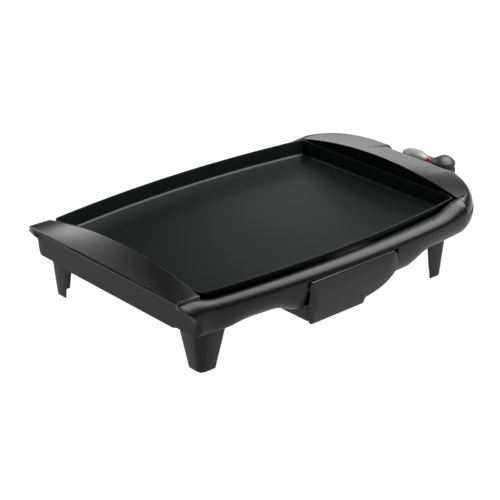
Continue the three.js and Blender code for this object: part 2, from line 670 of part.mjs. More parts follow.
add('control_lower_shell', lowerShell(), blackPlastic);
add('control_upper_shell', upperShell(), blackPlastic);
['front', 'rear'].forEach((name, i) => {
  const [x, y] = CONTROL_SCREWS[i];
  add(`control_screw_${name}`, screwUp(x, y, CONTROL.bottom - GAP, 12, PAN_SCREW_R, 3.2), steel);
});
add('control_knob', controlKnob(), blackPlastic);
add('knob_spindle', knobSpindle(), steel);
add('indicator_window', indicatorWindow(), smoke);
add('pilot_lens', pilotLens(), redLens);
add('pilot_lamp', pilotLamp(), smoke);
add('thermostat_switch', thermostatSwitch(), ceramic);
add('temperature_probe', temperatureProbe(), steel);
add('contact_socket_front', contactSocket(SOCKET.y - SOCKET.pitch), brass);
add('contact_socket_rear', contactSocket(SOCKET.y + SOCKET.pitch), brass);

// The origin is the middle of the footprint on the table.
const extent = new THREE.Box3().setFromObject(griddle);
const middle = extent.getCenter(new THREE.Vector3());
griddle.position.set(-middle.x, -middle.y, 0);
griddle.updateMatrixWorld(true);

export default griddle;
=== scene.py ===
import math
import bpy
import bmesh
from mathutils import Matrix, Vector


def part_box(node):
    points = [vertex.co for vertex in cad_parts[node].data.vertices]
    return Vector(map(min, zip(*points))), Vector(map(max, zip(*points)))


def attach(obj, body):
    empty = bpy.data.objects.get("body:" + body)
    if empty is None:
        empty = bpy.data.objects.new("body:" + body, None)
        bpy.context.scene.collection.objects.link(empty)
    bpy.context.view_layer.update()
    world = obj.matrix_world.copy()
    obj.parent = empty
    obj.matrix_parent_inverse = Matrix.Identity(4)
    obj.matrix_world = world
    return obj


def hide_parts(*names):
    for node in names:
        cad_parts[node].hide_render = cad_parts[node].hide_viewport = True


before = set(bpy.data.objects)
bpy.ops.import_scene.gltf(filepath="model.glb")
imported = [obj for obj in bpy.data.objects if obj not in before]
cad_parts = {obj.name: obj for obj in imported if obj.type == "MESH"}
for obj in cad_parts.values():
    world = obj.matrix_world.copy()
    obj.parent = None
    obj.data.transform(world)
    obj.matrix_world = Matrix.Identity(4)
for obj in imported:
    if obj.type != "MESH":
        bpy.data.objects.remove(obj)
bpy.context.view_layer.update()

# ---------------------------------------------------------------- studio
# A glowing white floor that fades far from the griddle, a dim room and four softboxes. The camera
# stands in front of the left end, above the table, and looks at the plate through a long lens.
MM = 0.001
plate_low, plate_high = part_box("griddle_plate")
MIDDLE = Vector(((plate_low.x + plate_high.x) / 2, (plate_low.y + plate_high.y) / 2, 0))


def place(x, y, z):
    """A point given in millimetres from the middle of the plate, with z above the table."""
    return Vector((MIDDLE.x + x * MM, MIDDLE.y + y * MM, z * MM))


def turned(azimuth, elevation):
    """Unit direction from the target: azimuth 0 is the front, elevation is above the table."""
    a, e = math.radians(azimuth), math.radians(elevation)
    return Vector((math.sin(a) * math.cos(e), -math.cos(a) * math.cos(e), math.sin(e)))


VIEW_TARGET = place(-23.8, -13.0, 57.4)
VIEW_FROM = turned(-41.55, 24.39)
VIEW_DISTANCE = 2141.1 * MM

camera_data = bpy.data.cameras.new("camera")
camera_data.lens = 118.36
camera_data.sensor_width = 36
camera = bpy.data.objects.new("camera", camera_data)
camera.location = VIEW_TARGET + VIEW_FROM * VIEW_DISTANCE
camera.rotation_euler = VIEW_FROM.to_track_quat("Z", "Y").to_euler()
bpy.context.collection.objects.link(camera)
bpy.context.scene.camera = camera
bpy.context.scene.view_settings.view_transform = "Standard"


def soft_light(name, width, height, watts, centre, aimed_at):
    """A rectangular softbox at a point, turned to face another one; sizes in metres."""
    data = bpy.data.lights.new(name, "AREA")
    data.shape = "RECTANGLE"
    data.size = width
    data.size_y = height
    data.energy = watts
    lamp = bpy.data.objects.new(name, data)
    lamp.location = centre
    lamp.rotation_euler = (centre - aimed_at).to_track_quat("Z", "Y").to_euler()
    bpy.context.collection.objects.link(lamp)


soft_light("overhead_softbox", 1.0, 1.1, 34, place(610, -230, 1020), place(0, -80, 90))
soft_light("rear_left_softbox", 0.7, 0.5, 7, place(-90, 1300, 720), place(-240, 140, 110))
soft_light("rear_right_softbox", 0.6, 0.45, 0.3, place(1150, 1000, 560), place(100, 0, 90))
soft_light("rear_low_softbox", 0.9, 0.35, 1.7, place(1270, 1050, 290), place(260, 40, 105))

world = bpy.data.worlds.new("dim_room")
world.use_nodes = True
world.node_tree.nodes["Background"].inputs["Color"].default_value = (1, 1, 1, 1)
world.node_tree.nodes["Background"].inputs["Strength"].default_value = 0.07
bpy.context.scene.world = world

FLOOR_HALF = 30.0
GLOW_NEAR, GLOW_FAR = 1.9, 4.0
floor_mesh = bpy.data.meshes.new("floor")
floor_corners = [(-FLOOR_HALF, -FLOOR_HALF, 0), (FLOOR_HALF, -FLOOR_HALF, 0),
                 (FLOOR_HALF, FLOOR_HALF, 0), (-FLOOR_HALF, FLOOR_HALF, 0)]
floor_mesh.from_pydata(floor_corners, [], [(0, 1, 2, 3)])
floor = bpy.data.objects.new("floor", floor_mesh)
bpy.context.collection.objects.link(floor)
floor_finish = bpy.data.materials.new("floor_white")
floor_finish.use_nodes = True
floor_shader = floor_finish.node_tree.nodes["Principled BSDF"]
floor_shader.inputs["Base Color"].default_value = (0.08, 0.08, 0.08, 1)
floor_shader.inputs["Roughness"].default_value = 0.9
floor_shader.inputs["Specular IOR Level"].default_value = 0.1
floor_shader.inputs["Emission Color"].default_value = (1, 1, 1, 1)
floor_nodes, floor_links = floor_finish.node_tree.nodes, floor_finish.node_tree.links
floor_where = floor_nodes.new("ShaderNodeTexCoord")
floor_reach = floor_nodes.new("ShaderNodeVectorMath")
floor_reach.operation = "LENGTH"
floor_fade = floor_nodes.new("ShaderNodeMapRange")
floor_fade.inputs["From Min"].default_value = GLOW_NEAR
floor_fade.inputs["From Max"].default_value = GLOW_FAR
floor_fade.inputs["To Min"].default_value = 1.0
floor_fade.inputs["To Max"].default_value = 0.35
floor_links.new(floor_where.outputs["Object"], floor_reach.inputs[0])
floor_links.new(floor_reach.outputs["Value"], floor_fade.inputs["Value"])
floor_links.new(floor_fade.outputs["Result"], floor_shader.inputs["Emission Strength"])
floor_mesh.materials.append(floor_finish)


# ---------------------------------------------------------------- housing
# The body ring: one black injection moulding with a fine grain. Its long sides bow outwards and
# are rounded like a bullnose. The left end is a flat wall, and the right end bulges round the
# socket.
def moulded_plastic(name, colour, roughness, sheen=0.5, grain=0.12, speck=0.2):
    """Injection-moulded plastic: a fine spark-eroded grain and a slight unevenness of gloss."""
    material = bpy.data.materials.new(name)
    material.use_nodes = True
    nodes, links = material.node_tree.nodes, material.node_tree.links
    shader = nodes["Principled BSDF"]
    shader.inputs["Specular IOR Level"].default_value = sheen
    where = nodes.new("ShaderNodeTexCoord")
    fine = nodes.new("ShaderNodeTexNoise")
    fine.inputs["Scale"].default_value = 1400
    fine.inputs["Detail"].default_value = 3
    broad = nodes.new("ShaderNodeTexNoise")
    broad.inputs["Scale"].default_value = 14
    broad.inputs["Detail"].default_value = 4
    tint = nodes.new("ShaderNodeMix")
    tint.data_type = "RGBA"
    tint.inputs[6].default_value = (*[c * (1 - speck) for c in colour], 1)
    tint.inputs[7].default_value = (*[c * (1 + speck) for c in colour], 1)
    gloss = nodes.new("ShaderNodeMapRange")
    gloss.inputs["To Min"].default_value = roughness - 0.04
    gloss.inputs["To Max"].default_value = roughness + 0.05
    bump = nodes.new("ShaderNodeBump")
    bump.inputs["Strength"].default_value = grain
    bump.inputs["Distance"].default_value = 0.0002
    links.new(where.outputs["Object"], fine.inputs["Vector"])
    links.new(where.outputs["Object"], broad.inputs["Vector"])
    links.new(broad.outputs["Fac"], gloss.inputs["Value"])
    links.new(fine.outputs["Fac"], tint.inputs[0])
    links.new(tint.outputs[2], shader.inputs["Base Color"])
    links.new(gloss.outputs["Result"], shader.inputs["Roughness"])
    links.new(fine.outputs["Fac"], bump.inputs["Height"])
    links.new(bump.outputs["Normal"], shader.inputs["Normal"])
    return material


body_black = moulded_plastic("body_black", (0.0032, 0.0034, 0.0037), 0.35, 0.2)


def smooth(piece, crisp):
    """Smooth shading, with edges sharper than crisp degrees kept hard."""
    piece.data.polygons.foreach_set("use_smooth", [True] * len(piece.data.polygons))
    piece.data.set_sharp_from_angle(angle=math.radians(crisp))


def raw_piece(name, vertices, faces):
    """An object from mesh data, its doubles merged and its normals turned outwards."""
    mesh = bpy.data.meshes.new(name)
    mesh.from_pydata(vertices, [], faces)
    mesh.validate()
    piece = bpy.data.objects.new(name, mesh)
    bpy.context.collection.objects.link(piece)
    tidy = bmesh.new()
    tidy.from_mesh(mesh)
    bmesh.ops.remove_doubles(tidy, verts=tidy.verts, dist=1e-6)
    bmesh.ops.recalc_face_normals(tidy, faces=tidy.faces)
    tidy.to_mesh(mesh)
    tidy.free()
    return piece


def apply_modifiers(piece):
    """Swaps the mesh for the one that its modifiers make of it."""
    graph = bpy.context.evaluated_depsgraph_get()
    done = bpy.data.meshes.new_from_object(piece.evaluated_get(graph))
    piece.modifiers.clear()
    piece.data = done


def finish_piece(piece, material, body, slot, *replaced, crisp=32):
    """Applies the modifiers, then gives the shading, the material and the ties to the frame."""
    if piece.modifiers:
        apply_modifiers(piece)
    smooth(piece, crisp)
    piece.data.materials.clear()
    piece.data.materials.append(material)
    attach(piece, body)
    if replaced:
        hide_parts(*replaced)


def walled(piece, thickness):
    """Gives an open skin a wall, grown inwards."""
    wall = piece.modifiers.new("wall", "SOLIDIFY")
    wall.thickness = thickness * MM
    wall.offset = -1


def soft_edged(piece, width, angle):
    """Rounds the edges sharper than an angle in degrees."""
    edges = piece.modifiers.new("soft_edges", "BEVEL")
    edges.width = width * MM
    edges.segments = 3
    edges.limit_method = "ANGLE"
    edges.angle_limit = math.radians(angle)


def carved(piece, *tools):
    """Cuts the tools out of the piece, then throws the tools away."""
    for tool in tools:
        cut = piece.modifiers.new("cut", "BOOLEAN")
        cut.operation = "DIFFERENCE"
        cut.object = tool
        cut.solver = "EXACT"
    apply_modifiers(piece)
    for tool in tools:
        bpy.data.objects.remove(tool, do_unlink=True)


def loft(rings, closed_rings=True, closed_row=False, caps=False):
    """Vertices and faces of a skin over rings of equal point counts.

    closed_rings joins the ends of each ring, closed_row joins the last ring to the first, and caps
    puts a face over the first ring and the last.
    """
    count = len(rings[0])
    vertices = [point for ring in rings for point in ring]
    faces = []
    rows = len(rings) if closed_row else len(rings) - 1
    columns = count if closed_rings else count - 1
    for i in range(rows):
        j = (i + 1) % len(rings)
        for k in range(columns):
            m = (k + 1) % count
            faces.append((i * count + k, i * count + m, j * count + m, j * count + k))
    if caps:
        faces.append(tuple(range(count - 1, -1, -1)))
        last = (len(rings) - 1) * count
        faces.append(tuple(last + k for k in range(count)))
    return vertices, faces


def box_tool(low, high):
    """A block to cut with, between two corners."""
    (x0, y0, z0), (x1, y1, z1) = low, high
    plan = [(x0, y0), (x1, y0), (x1, y1), (x0, y1)]
    rings = [[place(x, y, z) for x, y in plan] for z in (z0, z1)]
    return raw_piece("tool", *loft(rings, caps=True))


def bar_tool(x, y, z0, z1, r):
    """An upright bar to cut round holes with."""
    return raw_piece("tool", *loft([disc(x, y, z, r) for z in (z0, z1)], caps=True))


def disc(x, y, z, r, count=32):
    """A level ring of points."""
    turn = 2 * math.pi / count
    return [place(x + r * math.cos(k * turn), y + r * math.sin(k * turn), z) for k in range(count)]


def mix(a, b, t):
    """Runs from a to b as t goes from 0 to 1."""
    return a + (b - a) * t


def clamp(value, low, high):
    return max(low, min(high, value))


def ease(t):
    """0 below 0, 1 above 1, and a smooth run between."""
    t = clamp(t, 0, 1)
    return t * t * (3 - 2 * t)


def bezier(p0, p1, p2, p3, count):
    """Points along a cubic curve in a plane."""
    points = []
    for i in range(count):
        t = i / (count - 1)
        a, b, c, d = (1 - t) ** 3, 3 * t * (1 - t) ** 2, 3 * t * t * (1 - t), t ** 3
        points.append(tuple(a * p0[k] + b * p1[k] + c * p2[k] + d * p3[k] for k in (0, 1)))
    return points


LEFT_WALL = -236.5          # end wall's outer face
LEFT_FLARE = 18             # how far the shoulders run out past it
SLANT_LOW, SLANT_HIGH = 78, 100
CORNER_X = 215              # where the long sides turn into the right end
RIGHT_NEAR, RIGHT_FAR = 302, 307.5
HALF_WIDTH_LEFT, HALF_WIDTH_RIGHT = 163, 170
HALF_WIDTH_PULL = 191.5     # the bow's control point
WIDEST = 84                 # height of the widest line
BODY_TOP = 96
BODY_BOTTOM = 57.5
PLATE_EDGE_END = 148.8      # half width of the opening at its ends
PLATE_EDGE_BOW = 13.5
RECESS_X = 297              # back wall of the recess behind the control
HOUSING_WALL = 2.6
FLANGE = 11
TRAY_DOORWAY = (-74, -200, 0), (81.4, -140, 85.2)
LIP_SLOT = (-76.5, -200, 49.5), (0, -140, 54.5)
SOCKET_HOLE = (280, -42, 66), (320, 10, 88)


def side_half_width(x):
    """Half width of the body at its widest line."""
    t = clamp((x + CORNER_X) / (2 * CORNER_X), 0, 1)
    left, right = (1 - t) ** 2 * HALF_WIDTH_LEFT, t * t * HALF_WIDTH_RIGHT
    return left + 2 * t * (1 - t) * HALF_WIDTH_PULL + right


def plate_edge(x):
    """Half width of the opening that the plate sits in."""
    bowed = PLATE_EDGE_END + PLATE_EDGE_BOW * max(0, 1 - (x / 220) ** 2)
    return bowed - 9 * ease((-212 - x) / 38)


def body_top(x):
    """Height of the shoulders, which swell up to meet the covers."""
    return BODY_TOP + 6.5 * ease((-202 - x) / 36) + 8 * ease((x - 176) / 40) * ease((266 - x) / 30)


def left_end(z):
    """Where the long sides end: the shoulders run out past the end wall in a slanting cut."""
    return LEFT_WALL - LEFT_FLARE * clamp((z - SLANT_LOW) / (SLANT_HIGH - SLANT_LOW), 0, 1)


def corner_round(z):
    """Radius of the left end's upright corners, which sharpen under the shoulders."""
    return 1 + 4 * (1 - ease((z - 72) / 18))


def scooped(x, y):
    """The right end's plan, scooped in to the recess's back wall behind the control."""
    inside = ease((y + 86) / 12) * ease((46 - y) / 10)
    return mix(x, min(x, RECESS_X), inside)


def right_end_curve(count=29):
    """Plan of the bulging right end at its widest, from the near side to the far side."""
    end = HALF_WIDTH_RIGHT
    near = bezier((CORNER_X, -end), (CORNER_X + 35, -end + 4), (RIGHT_NEAR - 15, -end + 42),
                  (RIGHT_NEAR, -66), count)
    far = bezier((RIGHT_FAR, 72), (RIGHT_FAR - 7, end - 30), (CORNER_X + 47, end - 2),
                 (CORNER_X, end), count)
    straight = [(mix(RIGHT_NEAR, RIGHT_FAR, i / 60), mix(-66, 72, i / 60)) for i in range(1, 60)]
    return [(scooped(x, y), y) for x, y in near + straight + far]


def inward(points, i):
    """Unit direction to the left of travel along a list of plan points."""
    (ax, ay), (bx, by) = points[max(0, i - 1)], points[min(len(points) - 1, i + 1)]
    length = math.hypot(bx - ax, by - ay)
    return -(by - ay) / length, (bx - ax) / length


SIDE_STATIONS = 56
END_CURVE = right_end_curve()


def body_loop(side_in, right_in, height):
    """One ring of the housing. side_in gives the long sides' inset at x, height the z at x, y."""
    level = height(LEFT_WALL, 100)
    left = left_end(level)
    r = corner_round(level)

    def side(i):
        x = mix(left, CORNER_X, (i / SIDE_STATIONS) ** 1.7)
        turn = max(0, 1 - (x - left) / r)
        return x, side_half_width(x) - side_in(x) - r * (1 - math.sqrt(1 - turn * turn))

    sides = [side(i) for i in range(SIDE_STATIONS)]
    loop = [(x, -y) for x, y in sides]
    for i, (x, y) in enumerate(END_CURVE):
        nx, ny = inward(END_CURVE, i)
        inset = mix(side_in(CORNER_X), right_in, ease((x - CORNER_X) / 30))
        loop.append((x + nx * inset, y + ny * inset))
    loop += sides[::-1]
    flat = sides[0][1]
    for i in range(1, 40):
        y = mix(flat, -flat, i / 40)
        loop.append((LEFT_WALL, y))
    return [place(x, y, height(x, y)) for x, y in loop]


def belly(x, y):
    """Lower edge of the housing: it dips round the drip tray on both long sides."""
    if abs(y) < 120:
        return BODY_BOTTOM - 2.5 * ease((-200 - x) / 15)
    return BODY_BOTTOM - 13 * ease((x + 120) / 46) * ease((150 - x) / 42)


def undercut(x):
    """How far the lower edge of a long side stands in from its widest line."""
    return mix(16, 5, ease((-150 - x) / 45))


def housing_rings():
    """A flange turned in over the base pan, the undercut side, then the rounded shoulder."""
    flange = body_loop(lambda x: undercut(x) + FLANGE + 8 * ease((x - 140) / 40), 34, belly)
    end = place(LEFT_WALL + FLANGE - 2, 0, 0).x
    rings = [[Vector((max(p.x, end), p.y, p.z)) for p in flange]]
    for i in range(9):
        a = math.radians(90 * i / 8)
        rings.append(body_loop(
            lambda x, a=a: undercut(x) * (1 - math.sin(a)) ** 1.1,
            15 * (1 - math.sin(a)),
            lambda x, y, a=a: WIDEST - (WIDEST - belly(x, y)) * math.cos(a)))
    for i in range(1, 11):
        a = math.radians(90 * i / 10)
        rings.append(body_loop(
            lambda x, a=a: (side_half_width(x) - plate_edge(x)) * (1 - math.cos(a)),
            3 + 15 * (1 - math.cos(a)),
            lambda x, y, a=a: WIDEST + (body_top(x) - WIDEST) * math.sin(a)))
    return rings


housing = raw_piece("housing_moulding", *loft(housing_rings()))
walled(housing, HOUSING_WALL)
carved(housing, box_tool(*TRAY_DOORWAY), box_tool(*LIP_SLOT), box_tool(*SOCKET_HOLE))
finish_piece(housing, body_black, "base", "body_plastic", "housing")

# ---------------------------------------------------------------- left end cover
# Black cover between the plate and the left end wall: an arched crest along the plate, then a
# slope down to a straight overhanging edge. Moulded in a slightly glossier plastic than the body.
cover_black = moulded_plastic("cover_black", (0.004, 0.0042, 0.0045), 0.3, 0.3)
COVER_INNER = 222.5         # both covers' plate side, from the middle
COVER_OUTER = 258           # the left cover's outer edge
COVER_EDGE = 106            # its height there
COVER_SKIRT = 64            # both covers reach down to here beside the plate
CREST_HALF = 150
CREST_END = 105
CREST_ARCH = 17.5


def crest(y):
    """Height of the arched crest along the plate."""
    return CREST_END + CREST_ARCH * (1 - min(1, abs(y) / CREST_HALF) ** 2)


def cover_top(out, y):
    """Height of a cover's top; out is 0 at the crest and 1 at the outer edge."""
    return COVER_EDGE + (crest(y) - COVER_EDGE) * (1 - out)


def left_cover_section(y):
    """Cross-section of the cover. It is filled in below the lip where it meets the shoulders."""
    bottom = BODY_TOP + 0.3
    filled = ease((abs(y) - 137) / 5)

    def point(out, z):
        width = COVER_OUTER - COVER_INNER - 1.5 * out * ease((abs(y) - 143) / 7)
        return place(-COVER_INNER - out * width, y * (1 - 0.008 * out), z)

    section = [(0.0, COVER_SKIRT), (0.0, crest(y) - 1.4), (0.012, crest(y) - 0.4)]
    section += [(out, cover_top(out, y)) for out in (0.04, *(t / 10 for t in range(1, 10)), 0.95)]
    section += [(0.985, cover_top(0.985, y) - 0.3), (1.0, COVER_EDGE - 1.2),
                (0.99, COVER_EDGE - 2.6), (mix(0.45, 0.94, filled), COVER_EDGE - 3),
                (mix(0.42, 0.86, filled), bottom - 2 * filled), (0.07, bottom - 2 * filled),
                (0.07, COVER_SKIRT)]
    return [point(out, z) for out, z in section]


cover_rows = [left_cover_section(-CREST_HALF + 2 * CREST_HALF * i / 60) for i in range(61)]
left_cover = raw_piece("left_cover_moulding", *loft(cover_rows, caps=True))
soft_edged(left_cover, 0.8, 35)
finish_piece(left_cover, cover_black, "base", "cover_plastic", "left_end_cover")

# ---------------------------------------------------------------- right end cover
# The same plastic. From its arched crest it falls gently outwards and rolls over the bulging
# end of the body, with a notch for the control.
PARTING_Z = 85.3            # where the cover meets the body
ROLL = 17
END_LAP = 13                # how far its ends reach on to the shoulders
RIGHT_COVER_WALL = 2.2


def on_shoulder(point):
    """Where an end of the cover comes down on the body's rounded shoulder."""
    y = (point.y - MIDDLE.y) / MM
    across = clamp((abs(y) - PLATE_EDGE_END) / (HALF_WIDTH_RIGHT - PLATE_EDGE_END), 0, 1)
    rise = body_top(COVER_INNER - END_LAP) - WIDEST
    return place(COVER_INNER - END_LAP, y, WIDEST + rise * math.sqrt(1 - across * across) - 0.4)


def right_cover_rings():
    """Rings from the parting line over the roll and in to the crest, then the inner skirt."""
    outline = [(x, y) for x, y in END_CURVE if x > COVER_INNER]
    outline = [(COVER_INNER, outline[0][1] - 1)] + outline + [(COVER_INNER, outline[-1][1] + 0.5)]
    last = len(outline) - 1
    steps = [0, 0.15, 0.6, 1.4, 2.6, 4.2, 6.2, 8.6, 11.2, 14, ROLL]
    rings = []
    for i in range(len(steps) + 10):
        ring = []
        for k, (x, y) in enumerate(outline):
            nx, ny = inward(outline, k)
            if k in (0, last):
                nx, ny = 0, (1 if k == 0 else -1)
            hold = max(0, x - COVER_INNER) / 20
            px, py = x + nx * 1.2 * min(1, hold), y + ny * 1.2
            crest_y = clamp(y, -CREST_HALF, CREST_HALF)
            far = math.hypot(px - COVER_INNER, py - crest_y)
            toward = ((COVER_INNER - px) / far, (crest_y - py) / far)
            if i < len(steps):
                gone = steps[i] * min(1, far / ROLL)
            else:
                gone = mix(ROLL * min(1, far / ROLL), far, (i - len(steps) + 1) / 10)
            qx, qy = px + toward[0] * gone, py + toward[1] * gone
            width = max(1, scooped(RIGHT_FAR, y) - COVER_INNER)
            top = cover_top(min(1, (qx - COVER_INNER) / width), clamp(qy, -CREST_HALF, CREST_HALF))
            roll = min(ROLL, far)
            rise = math.sqrt(max(0, 1 - (1 - min(1, gone / roll)) ** 2))
            ring.append(place(qx, qy, mix(PARTING_Z, top, rise)))
        ends = [on_shoulder(p) for p in (ring[0], ring[-1])]
        rings.append([ends[0]] + ring + [ends[1]])
    rings.append([Vector((p.x, p.y, COVER_SKIRT * MM)) for p in rings[-1]])
    return rings


right_cover = raw_piece("right_cover_moulding", *loft(right_cover_rings(), closed_rings=False))
walled(right_cover, RIGHT_COVER_WALL)
finish_piece(right_cover, cover_black, "base", "cover_plastic", "right_end_cover")

# ---------------------------------------------------------------- cooking plate
# A shallow cast aluminium tub with a flat floor, thin drafted walls and a drain hole with a
# spout near the front wall, coated dark grey-green with a sprayed non-stick layer.
def non_stick(name, colour, roughness):
    """Sprayed non-stick coat: soft orange peel and minute pale flecks."""
    material = moulded_plastic(name, colour, roughness, 0.18, grain=0.1, speck=0.12)
    nodes, links = material.node_tree.nodes, material.node_tree.links
    shader = nodes["Principled BSDF"]
    where = nodes.new("ShaderNodeTexCoord")
    flecks = nodes.new("ShaderNodeTexVoronoi")
    flecks.inputs["Scale"].default_value = 900
    chosen = nodes.new("ShaderNodeMapRange")
    chosen.inputs["From Min"].default_value = 0.05
    chosen.inputs["From Max"].default_value = 0.16
    chosen.inputs["To Min"].default_value = 1
    chosen.inputs["To Max"].default_value = 0
    speckled = nodes.new("ShaderNodeMix")
    speckled.data_type = "RGBA"
    speckled.inputs[7].default_value = (*[c * 2.2 for c in colour], 1)
    links.new(where.outputs["Object"], flecks.inputs["Vector"])
    links.new(flecks.outputs["Distance"], chosen.inputs["Value"])
    links.new(chosen.outputs["Result"], speckled.inputs[0])
    links.new(shader.inputs["Base Color"].links[0].from_socket, speckled.inputs[6])
    links.new(speckled.outputs[2], shader.inputs["Base Color"])
    return material


plate_coat = non_stick("non_stick_coat", (0.0022, 0.0042, 0.0036), 0.3)
PLATE_HALF_LENGTH = 220
PLATE_HALF_WIDTH = 147
PLATE_BOW = 16
DRAIN_X, DRAIN_Y, DRAIN_R = -26, -138, 7


def plate_loop(inset, z, r=9):
    """One level of the plate: bowed long sides, straight ends, small round corners."""
    length, width = PLATE_HALF_LENGTH - inset, PLATE_HALF_WIDTH - inset
    r = max(2.5, r - inset)
    quarter = []
    for i in range(24):
        x = (length - r) * i / 24
        quarter.append((x, width + PLATE_BOW * (1 - (x / length) ** 2)))
    corner_y = width + PLATE_BOW * (1 - ((length - r) / length) ** 2)
    for i in range(9):
        a = math.radians(90 - 90 * i / 8)
        quarter.append((length - r + r * math.cos(a), corner_y - r + r * math.sin(a)))
    for i in range(1, 13):
        quarter.append((length, (corner_y - r) * (1 - i / 12)))
    loop = [(x, -y) for x, y in reversed(quarter[:-1])]
    loop += [(-x, -y) for x, y in quarter[1:]]
    loop += [(-x, y) for x, y in reversed(quarter[:-1])]
    loop += quarter[1:]
    return [place(x, y, z) for x, y in loop]


plate_profile = [(16, 82), (9.5, 82), (8, 82.4), (7, 83.4), (6.4, 85), (2.4, 98), (0.9, 103),
                 (0.3, 105), (0.2, 105.6), (0.35, 105.9), (0.7, 106), (2.4, 106), (2.75, 105.9),
                 (2.9, 105.6), (3.7, 103), (5.3, 98), (7.4, 91), (7.8, 89.4), (8.4, 88.1),
                 (9.3, 87.1), (10.5, 86.4), (12, 86), (17, 86)]
plate = raw_piece("cooking_plate", *loft([plate_loop(i, z) for i, z in plate_profile], caps=True))
carved(plate, bar_tool(DRAIN_X, DRAIN_Y, 70, 95, DRAIN_R))
spout_profile = [(7, 63.4), (7.6, 63), (9.4, 63), (10, 63.6), (10, 82.4), (7, 82.4)]
spout = raw_piece("drain_spout", *loft([disc(DRAIN_X, DRAIN_Y, z, r, 40) for r, z in spout_profile],
                                       closed_row=True))
finish_piece(plate, plate_coat, "plate", "non_stick_plate", "griddle_plate")
finish_piece(spout, plate_coat, "plate", "non_stick_plate")

# ---------------------------------------------------------------- legs and foot pads
# Four hollow corner legs moulded in the body's plastic, round at the corner and tapering
# downwards, each on a black rubber pad.
LEG_LEFT_X, LEG_RIGHT_X, LEG_Y = -227.5, 206, 154.5
LEG_LEAN, LEG_ARM, LEG_FOOT, LEG_WALL, LEG_CORNER, LEG_TOP = 6, 40.5, 22.5, 3.4, 16, 56.7
PAD_SET_BACK = 5            # the pads stay clear of the legs' open side


def leg_plan():
    """Angle section with a round outer corner at 0, 0 and arms along X and Y."""
    inner = LEG_CORNER - LEG_WALL
    plan = [(LEG_ARM, 0), (LEG_ARM, LEG_WALL), (LEG_CORNER, LEG_WALL)]
    for i in range(1, 9):
        a = math.radians(270 - 90 * i / 8)
        plan.append((LEG_CORNER + inner * math.cos(a), LEG_CORNER + inner * math.sin(a)))
    plan += [(LEG_WALL, LEG_ARM), (0, LEG_ARM), (0, LEG_CORNER)]
    for i in range(1, 13):
        a = math.radians(180 + 90 * i / 12)
        plan.append((LEG_CORNER + LEG_CORNER * math.cos(a), LEG_CORNER + LEG_CORNER * math.sin(a)))
    return plan


def leg_rings(corner_x, corner_y):
    """The section at its levels, shrinking and leaning inwards on the way down."""
    in_x, in_y = -math.copysign(1, corner_x), -math.copysign(1, corner_y)
    rings = []
    for z in (0.8, 4, 12, 24, 36, 48, LEG_TOP):
        down = (LEG_TOP - z) / LEG_TOP
        size = 1 - down * (1 - LEG_FOOT / LEG_ARM)
        rings.append([place(corner_x + in_x * (x * size + LEG_LEAN * down),
                            corner_y + in_y * (y * size + LEG_LEAN * down), z)
                      for x, y in leg_plan()])
    return rings


def rounded_loop(x0, y0, x1, y1, z, r, count=6):
    """A level rectangle with round corners."""
    loop = []
    corners = [(x1 - r, y1 - r, 0), (x0 + r, y1 - r, 90),
               (x0 + r, y0 + r, 180), (x1 - r, y0 + r, 270)]
    for cx, cy, start in corners:
        for i in range(count + 1):
            a = math.radians(start + 90 * i / count)
            loop.append(place(cx + r * math.cos(a), cy + r * math.sin(a), z))
    return loop


rubber = moulded_plastic("foot_rubber", (0.012, 0.012, 0.012), 0.8, 0.25, grain=0.3)
leg_corners = {"front_left": (LEG_LEFT_X, -LEG_Y), "rear_left": (LEG_LEFT_X, LEG_Y),
               "front_right": (LEG_RIGHT_X, -LEG_Y), "rear_right": (LEG_RIGHT_X, LEG_Y)}
for place_name, (corner_x, corner_y) in leg_corners.items():
    leg = raw_piece("leg_moulding_" + place_name, *loft(leg_rings(corner_x, corner_y), caps=True))
    soft_edged(leg, 0.7, 40)
    finish_piece(leg, body_black, "base", "body_plastic", "leg_" + place_name)
    low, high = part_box("foot_pad_" + place_name)
    x0, y0 = (low.x - MIDDLE.x) / MM, (low.y - MIDDLE.y) / MM
    x1, y1 = (high.x - MIDDLE.x) / MM, (high.y - MIDDLE.y) / MM
    x0, x1 = (x0, x1 - PAD_SET_BACK) if corner_x < 0 else (x0 + PAD_SET_BACK, x1)
    y0, y1 = (y0, y1 - PAD_SET_BACK) if corner_y < 0 else (y0 + PAD_SET_BACK, y1)
    pad_rings = [rounded_loop(x0 + i, y0 + i, x1 - i, y1 - i, z, 5 - i)
                 for i, z in ((2.8, 0), (2.2, 0.2), (1.8, 0.8), (1.8, 2.1), (2.3, 2.7))]
    pad = raw_piece("rubber_pad_" + place_name, *loft(pad_rings, caps=True))
    finish_piece(pad, rubber, "base", "rubber", "foot_pad_" + place_name)

# ---------------------------------------------------------------- drip tray
# A long open box that catches fat under the drain, with lips that hang on the runners. The
# same black plastic as the body, round at every edge.
TRAY_X0, TRAY_X1, TRAY_Y0, TRAY_Y1 = -70, 21, -174, 15


def tray_loop(grow, z, r=6):
    """One level of the tray; only its sides grow outwards into the lips."""
    drawn_in = min(0, grow)
    return rounded_loop(TRAY_X0 - grow, TRAY_Y0 - drawn_in, TRAY_X1 + grow, TRAY_Y1 + drawn_in,
                        z, max(1, r + drawn_in))


tray_profile = [(-6, 27.4), (-2.5, 27.6), (-1, 28.2), (-0.4, 29.6), (0, 50.6), (0.4, 51),
                (4.6, 51), (5, 51.4), (5, 52.6), (4.6, 53), (-1.4, 53), (-2, 52.6),
                (-2.2, 34), (-3, 31), (-5, 29.8), (-8, 29.4)]
tray_rings = [tray_loop(grow, z) for grow, z in tray_profile]
tray = raw_piece("drip_tray_moulding", *loft(tray_rings, caps=True))
finish_piece(tray, body_black, "tray", "body_plastic", "drip_tray")

